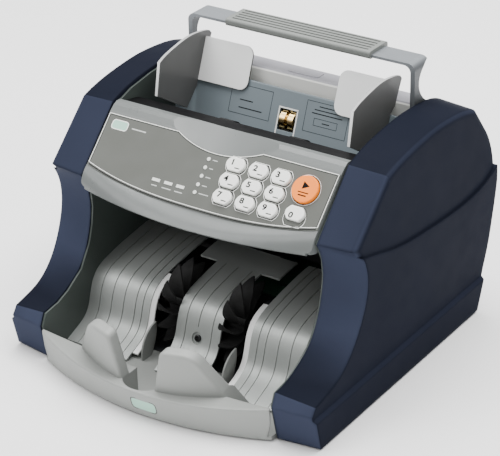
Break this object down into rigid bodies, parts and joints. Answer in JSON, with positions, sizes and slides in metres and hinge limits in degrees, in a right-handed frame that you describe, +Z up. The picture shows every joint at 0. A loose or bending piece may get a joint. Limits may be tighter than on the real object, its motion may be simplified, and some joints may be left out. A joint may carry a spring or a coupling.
{
  "type": "banknote counting machine",
  "caption": "Friction-feed banknote counter: top hopper with sliding guides, sloping keypad, stacker wheels over a curved bed, catch tray and folding handle.",
  "frame": {"origin": "bottom centre of the whole machine, on the table it stands on", "axes": "+Z up, +Y towards the rear panel, +X towards the start-key side"},
  "size_m": [0.296, 0.3131, 0.2365],
  "materials": {
    "navy_plastic": "fine-textured, satin",
    "silver_plastic": "silver-grey, satin",
    "pale_grey_plastic": "light grey, satin",
    "overlay_film": "printed grey-green film",
    "lamp_lens": "clear, pale",
    "key_plastic": "white, slightly glossy",
    "start_plastic": "orange, slightly glossy",
    "circuit_board": "green solder mask",
    "dome_rubber": "grey",
    "bed_metal": "brushed, satin",
    "white_plastic": "white",
    "black_plastic": "black",
    "black_rubber": "black, matt",
    "plate_paint": "dark grey-green paint",
    "steel": "ground",
    "screw_steel": "plated",
    "bronze": "sintered",
    "brass": "polished",
    "motor_case": "zinc grey",
    "hopper_plastic": "blue-grey, satin",
    "lavender_plastic": "lavender grey, satin",
    "handle_metal": "satin",
    "grip_plastic": "grey, ribbed",
    "base_metal": "black paint",
    "core_iron": "laminated",
    "guide_plastic": "silver-grey, satin"
  },
  "bodies": {
    "case": {"base_plate": "base_metal", "left_side_plate": "plate_paint", "right_side_plate": "plate_paint", "left_side_cover": "navy_plastic", "right_side_cover": "navy_plastic", "panel_bezel": "silver_plastic", "panel_overlay": "overlay_film", "indicator_lamps": "lamp_lens", "key_board": "circuit_board", "key_domes": "dome_rubber", "front_tray": "pale_grey_plastic", "left_stacker_bed": "bed_metal", "centre_stacker_bed": "bed_metal", "right_stacker_bed": "bed_metal", "slot_strips": "white_plastic", "case_screws": "screw_steel", "shaft_bearings": "bronze", "drum_belt": "black_rubber", "feed_belt": "black_rubber", "feed_motor": "motor_case", "stacker_motor": "motor_case", "hopper_back_plate": "hopper_plastic", "hopper_floor": "black_plastic", "inner_note_guide": "black_plastic", "count_sensors": "black_plastic", "guide_rod": "steel", "rear_top_cover": "lavender_plastic", "rear_panel": "base_metal", "mains_inlet": "black_plastic", "main_board": "circuit_board", "power_supply": "core_iron", "rubber_feet": "black_rubber"},
    "key_0_button": {"key_0": "key_plastic"},
    "key_1_button": {"key_1": "key_plastic"},
    "key_2_button": {"key_2": "key_plastic"},
    "key_3_button": {"key_3": "key_plastic"},
    "key_4_button": {"key_4": "key_plastic"},
    "key_5_button": {"key_5": "key_plastic"},
    "key_6_button": {"key_6": "key_plastic"},
    "key_7_button": {"key_7": "key_plastic"},
    "key_8_button": {"key_8": "key_plastic"},
    "key_9_button": {"key_9": "key_plastic"},
    "start_key_button": {"start_key": "start_plastic"},
    "stacker": {"stacker_shaft": "steel", "left_stacker_wheel": "black_rubber", "right_stacker_wheel": "black_rubber"},
    "drum": {"drum_shaft": "steel", "drum_rollers": "black_rubber", "drum_pulleys": "white_plastic"},
    "feeder": {"feed_shaft": "steel", "feed_rollers": "black_rubber", "feed_pulley": "white_plastic"},
    "motor_rotor": {"motor_pulley": "steel"},
    "separating_roller": {"window_roller": "brass"},
    "left_guide": {"left_note_guide": "guide_plastic"},
    "right_guide": {"right_note_guide": "guide_plastic"},
    "pinion": {"guide_pinion": "white_plastic"},
    "handle": {"handle_strap": "handle_metal", "handle_grip": "grip_plastic"},
    "rocker": {"power_switch": "black_plastic"}
  },
  "joints": [
    {"name": "key_0_press", "type": "slide", "parent": "case", "child": "key_0_button", "axis": [0, 0.7071, -0.7071], "range_m": [0, 0.0015], "stiffness_N_per_m": 300, "springref_m": -0.0005},
    {"name": "key_1_press", "type": "slide", "parent": "case", "child": "key_1_button", "axis": [0, 0.7071, -0.7071], "range_m": [0, 0.0015], "stiffness_N_per_m": 300, "springref_m": -0.0005},
    {"name": "key_2_press", "type": "slide", "parent": "case", "child": "key_2_button", "axis": [0, 0.7071, -0.7071], "range_m": [0, 0.0015], "stiffness_N_per_m": 300, "springref_m": -0.0005},
    {"name": "key_3_press", "type": "slide", "parent": "case", "child": "key_3_button", "axis": [0, 0.7071, -0.7071], "range_m": [0, 0.0015], "stiffness_N_per_m": 300, "springref_m": -0.0005},
    {"name": "key_4_press", "type": "slide", "parent": "case", "child": "key_4_button", "axis": [0, 0.7071, -0.7071], "range_m": [0, 0.0015], "stiffness_N_per_m": 300, "springref_m": -0.0005},
    {"name": "key_5_press", "type": "slide", "parent": "case", "child": "key_5_button", "axis": [0, 0.7071, -0.7071], "range_m": [0, 0.0015], "stiffness_N_per_m": 300, "springref_m": -0.0005},
    {"name": "key_6_press", "type": "slide", "parent": "case", "child": "key_6_button", "axis": [0, 0.7071, -0.7071], "range_m": [0, 0.0015], "stiffness_N_per_m": 300, "springref_m": -0.0005},
    {"name": "key_7_press", "type": "slide", "parent": "case", "child": "key_7_button", "axis": [0, 0.7071, -0.7071], "range_m": [0, 0.0015], "stiffness_N_per_m": 300, "springref_m": -0.0005},
    {"name": "key_8_press", "type": "slide", "parent": "case", "child": "key_8_button", "axis": [0, 0.7071, -0.7071], "range_m": [0, 0.0015], "stiffness_N_per_m": 300, "springref_m": -0.0005},
    {"name": "key_9_press", "type": "slide", "parent": "case", "child": "key_9_button", "axis": [0, 0.7071, -0.7071], "range_m": [0, 0.0015], "stiffness_N_per_m": 300, "springref_m": -0.0005},
    {"name": "start_key_press", "type": "slide", "parent": "case", "child": "start_key_button", "axis": [0, 0.7071, -0.7071], "range_m": [0, 0.0015], "stiffness_N_per_m": 300, "springref_m": -0.0005},
    {"name": "drum_spin", "type": "hinge", "parent": "case", "child": "drum", "pos_m": [0, 0.03175, 0.112], "axis": [1, 0, 0], "continuous": true},
    {"name": "feed_spin", "type": "hinge", "parent": "case", "child": "feeder", "pos_m": [0, 0.02525, 0.156], "axis": [1, 0, 0], "continuous": true},
    {"name": "motor_spin", "type": "hinge", "parent": "case", "child": "motor_rotor", "pos_m": [0, 0.06875, 0.064], "axis": [1, 0, 0], "continuous": true},
    {"name": "stacker_spin", "type": "hinge", "parent": "case", "child": "stacker", "pos_m": [0, -0.04325, 0.04], "axis": [1, 0, 0], "continuous": true},
    {"name": "separating_roller_spin", "type": "hinge", "parent": "case", "child": "separating_roller", "pos_m": [0, 0.07218, 0.16424], "axis": [1, 0, 0], "continuous": true},
    {"name": "left_guide_slide", "type": "slide", "parent": "case", "child": "left_guide", "axis": [1, 0, 0], "range_m": [-0.011, 0.022]},
    {"name": "right_guide_slide", "type": "slide", "parent": "case", "child": "right_guide", "axis": [-1, 0, 0], "range_m": [-0.011, 0.022]},
    {"name": "pinion_turn", "type": "hinge", "parent": "case", "child": "pinion", "pos_m": [0, 0.08835, 0.15], "axis": [0, 0, 1], "range_deg": [-95, 160]},
    {"name": "handle_fold", "type": "hinge", "parent": "case", "child": "handle", "pos_m": [0, 0.09275, 0.187], "axis": [-1, 0, 0], "range_deg": [0, 90]},
    {"name": "power_rocker", "type": "hinge", "parent": "case", "child": "rocker", "pos_m": [-0.055, 0.12675, 0.036], "axis": [-1, 0, 0], "range_deg": [0, 16]}
  ],
  "couplings": [
    {"joint": "feed_spin", "follows": "drum_spin", "ratio": 1},
    {"joint": "motor_spin", "follows": "drum_spin", "ratio": 2},
    {"joint": "right_guide_slide", "follows": "left_guide_slide", "ratio": 1},
    {"joint": "pinion_turn", "follows": "left_guide_slide", "rad_per_m": 125}
  ]
}
